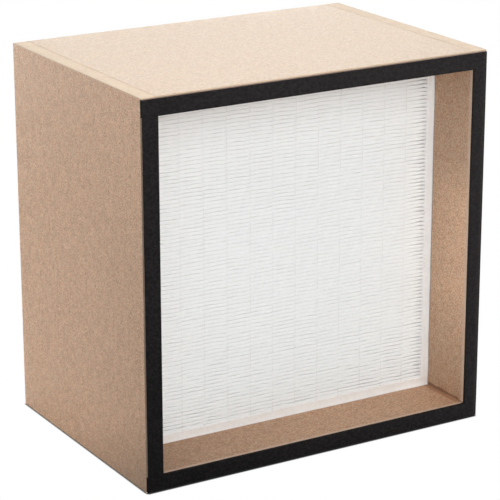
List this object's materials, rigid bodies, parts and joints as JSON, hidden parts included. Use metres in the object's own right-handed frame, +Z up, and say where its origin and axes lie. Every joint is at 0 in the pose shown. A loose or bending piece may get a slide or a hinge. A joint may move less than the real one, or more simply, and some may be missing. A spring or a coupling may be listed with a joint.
{
  "type": "box air filter",
  "caption": "Square fibreboard-framed box filter with a deep-set pleated white paper pack, potted edges and a black foam gasket on the front rim.",
  "frame": {"origin": "under the middle of the case, on the plane that the filter stands on", "axes": "+Z up, -Y out of the gasket side (the side that seals), +Y out of the plain rear rim, +X to the right seen from the gasket side"},
  "size_m": [0.425, 0.2986, 0.425],
  "materials": {
    "fibreboard": "matte",
    "gasket_foam": "matte",
    "filter_paper": "matte",
    "potting_resin": "satin",
    "hot_melt": "satin",
    "wood_glue": "satin"
  },
  "bodies": {
    "root": {"left_board": "fibreboard", "right_board": "fibreboard", "top_board": "fibreboard", "bottom_board": "fibreboard", "gasket_top": "gasket_foam", "gasket_bottom": "gasket_foam", "gasket_left": "gasket_foam", "gasket_right": "gasket_foam", "potting_top": "potting_resin", "potting_bottom": "potting_resin", "potting_left": "potting_resin", "potting_right": "potting_resin", "front_separator_01": "hot_melt", "front_separator_02": "hot_melt", "front_separator_03": "hot_melt", "front_separator_04": "hot_melt", "front_separator_05": "hot_melt", "front_separator_06": "hot_melt", "front_separator_07": "hot_melt", "front_separator_08": "hot_melt", "front_separator_09": "hot_melt", "front_separator_10": "hot_melt", "front_separator_11": "hot_melt", "front_separator_12": "hot_melt", "rear_separator_01": "hot_melt", "rear_separator_02": "hot_melt", "rear_separator_03": "hot_melt", "rear_separator_04": "hot_melt", "rear_separator_05": "hot_melt", "rear_separator_06": "hot_melt", "rear_separator_07": "hot_melt", "rear_separator_08": "hot_melt", "rear_separator_09": "hot_melt", "rear_separator_10": "hot_melt", "rear_separator_11": "hot_melt", "rear_separator_12": "hot_melt", "front_glue_top_left": "wood_glue", "front_glue_top_right": "wood_glue", "front_glue_bottom_left": "wood_glue", "front_glue_bottom_right": "wood_glue", "rear_glue_top_left": "wood_glue", "rear_glue_top_right": "wood_glue", "rear_glue_bottom_left": "wood_glue", "rear_glue_bottom_right": "wood_glue", "pleated_paper": "filter_paper"}
  },
  "joints": []
}
